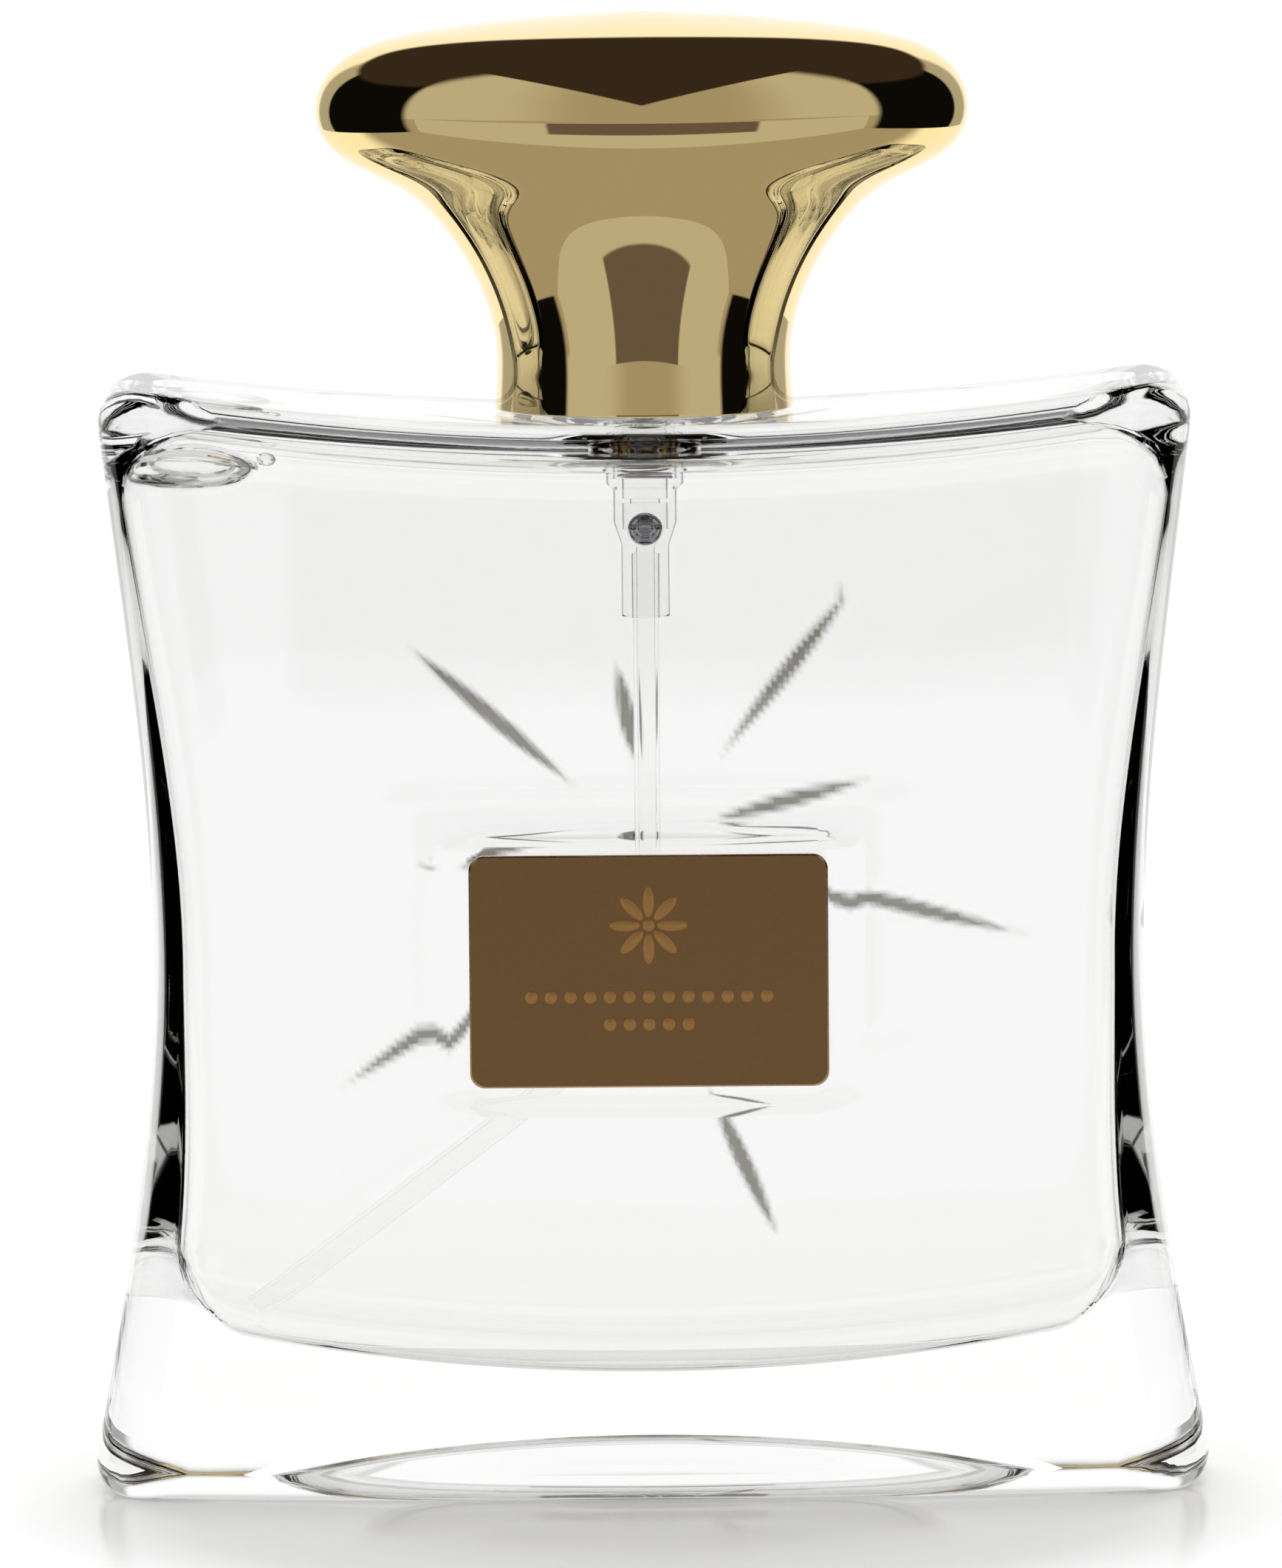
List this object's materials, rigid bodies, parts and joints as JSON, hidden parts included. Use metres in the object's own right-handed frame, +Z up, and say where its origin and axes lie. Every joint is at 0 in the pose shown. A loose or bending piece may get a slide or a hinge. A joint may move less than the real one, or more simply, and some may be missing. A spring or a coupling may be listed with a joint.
{
  "type": "perfume bottle with spray pump",
  "caption": "Waisted clear glass perfume bottle with an inset plaque, a working crimp-on spray pump and a flared oval-headed metal over-cap",
  "frame": {"origin": "on the surface the bottle stands on, below the centre of the neck", "axes": "+Z up through the neck, the plaque faces -Y, the wide faces run along X"},
  "size_m": [0.097, 0.034, 0.1287],
  "materials": {
    "flint_glass": "clear polished flint glass",
    "fragrance_liquid": "clear, nearly colourless liquid",
    "bronze_satin": "satin brown gold",
    "clear_adhesive": "clear adhesive film",
    "clear_tube": "clear polymer tube",
    "gasket_rubber": "pale elastomer",
    "pump_plastic": "clear polypropylene",
    "white_plastic": "natural white moulding",
    "steel_ball": "polished stainless steel",
    "spring_steel": "bright drawn wire",
    "gold_aluminium": "gold anodised, glossy",
    "gold_plated_plastic": "gold metallised, glossy",
    "nozzle_plastic": "natural white moulding",
    "gold_mirror": "mirror polished gold plate",
    "liner_plastic": "natural white moulding",
    "weight_steel": "plain zinc-coated steel"
  },
  "bodies": {
    "bottle": {"glass_bottle": "flint_glass", "fragrance": "fragrance_liquid", "label_plaque": "bronze_satin", "plaque_adhesive": "clear_adhesive", "dip_tube": "clear_tube", "neck_gasket": "gasket_rubber", "pump_housing": "pump_plastic", "turret": "white_plastic", "main_spring": "spring_steel", "crimp_ferrule": "gold_aluminium", "collar": "gold_plated_plastic"},
    "stem": {"stem": "white_plastic", "piston": "white_plastic", "valve_spring": "spring_steel"},
    "actuator": {"actuator": "white_plastic", "actuator_shell": "gold_aluminium", "nozzle_insert": "nozzle_plastic"},
    "inlet_ball": {"inlet_ball": "steel_ball"},
    "cap": {"cap_shell": "gold_mirror", "cap_liner": "liner_plastic", "cap_weight": "weight_steel"}
  },
  "joints": [
    {"name": "cap_lift", "type": "slide", "parent": "bottle", "child": "cap", "axis": [0, 0, 1], "range_m": [0, 0.04]},
    {"name": "pump_stroke", "type": "slide", "parent": "bottle", "child": "stem", "axis": [0, 0, -1], "range_m": [0, 0.004], "stiffness_N_per_m": 1200, "springref_m": -0.01, "deforming": ["main_spring"]},
    {"name": "actuator_turn", "type": "hinge", "parent": "stem", "child": "actuator", "pos_m": [0, 0, 0.1115], "axis": [0, 0, 1], "continuous": true},
    {"name": "ball_lift", "type": "slide", "parent": "bottle", "child": "inlet_ball", "axis": [0, 0, 1], "range_m": [0, 0.0008]}
  ]
}
